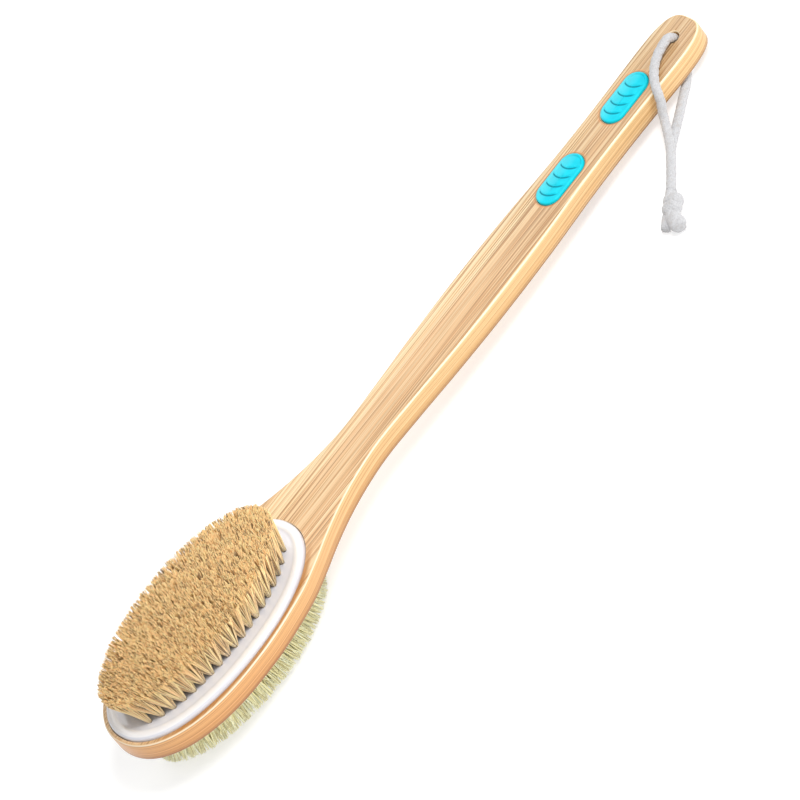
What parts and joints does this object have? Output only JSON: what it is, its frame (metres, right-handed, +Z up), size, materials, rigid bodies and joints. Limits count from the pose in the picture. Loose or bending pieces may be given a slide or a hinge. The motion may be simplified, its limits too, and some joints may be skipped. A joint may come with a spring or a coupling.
{
  "type": "body dry brush",
  "caption": "Long-handled bamboo body brush with tan bristles on one face of its oval head and cream bristles on the other, rubber grip pads and a cotton hanging cord",
  "frame": {"origin": "centre of the brush's footprint without its cord, on the surface that it lies on", "axes": "+X across the brush, +Y from the bristle head to the handle tip, +Z up through the front (tan) bristles; the board is tilted 2.9 degrees about X, handle end down, as it rests"},
  "size_m": [0.0989, 0.428, 0.0591],
  "materials": {
    "bamboo": "satin",
    "plate_white": "gloss",
    "grip_rubber": "matte",
    "bristle_tan": "matte",
    "bristle_cream": "matte",
    "cord_cotton": "matte"
  },
  "bodies": {
    "root": {"bamboo_handle": "bamboo", "front_bristle_plate": "plate_white", "rear_bristle_plate": "plate_white", "upper_grip_pad": "grip_rubber", "lower_grip_pad": "grip_rubber", "front_tuft_row_01": "bristle_tan", "front_tuft_row_02": "bristle_tan", "front_tuft_row_03": "bristle_tan", "front_tuft_row_04": "bristle_tan", "front_tuft_row_05": "bristle_tan", "front_tuft_row_06": "bristle_tan", "front_tuft_row_07": "bristle_tan", "front_tuft_row_08": "bristle_tan", "front_tuft_row_09": "bristle_tan", "front_tuft_row_10": "bristle_tan", "front_tuft_row_11": "bristle_tan", "front_tuft_row_12": "bristle_tan", "front_tuft_row_13": "bristle_tan", "front_tuft_row_14": "bristle_tan", "front_tuft_row_15": "bristle_tan", "front_tuft_row_16": "bristle_tan", "front_tuft_row_17": "bristle_tan", "front_tuft_row_18": "bristle_tan", "front_tuft_row_19": "bristle_tan", "rear_tuft_row_01": "bristle_cream", "rear_tuft_row_02": "bristle_cream", "rear_tuft_row_03": "bristle_cream", "rear_tuft_row_04": "bristle_cream", "rear_tuft_row_05": "bristle_cream", "rear_tuft_row_06": "bristle_cream", "rear_tuft_row_07": "bristle_cream", "rear_tuft_row_08": "bristle_cream", "rear_tuft_row_09": "bristle_cream", "rear_tuft_row_10": "bristle_cream", "rear_tuft_row_11": "bristle_cream", "rear_tuft_row_12": "bristle_cream", "rear_tuft_row_13": "bristle_cream", "rear_tuft_row_14": "bristle_cream", "rear_tuft_row_15": "bristle_cream", "rear_tuft_row_16": "bristle_cream", "rear_tuft_row_17": "bristle_cream", "rear_tuft_row_18": "bristle_cream", "rear_tuft_row_19": "bristle_cream", "cord_front_strand": "cord_cotton", "cord_rear_strand": "cord_cotton", "cord_knot": "cord_cotton", "cord_tail_long": "cord_cotton", "cord_tail_short": "cord_cotton"}
  },
  "joints": []
}
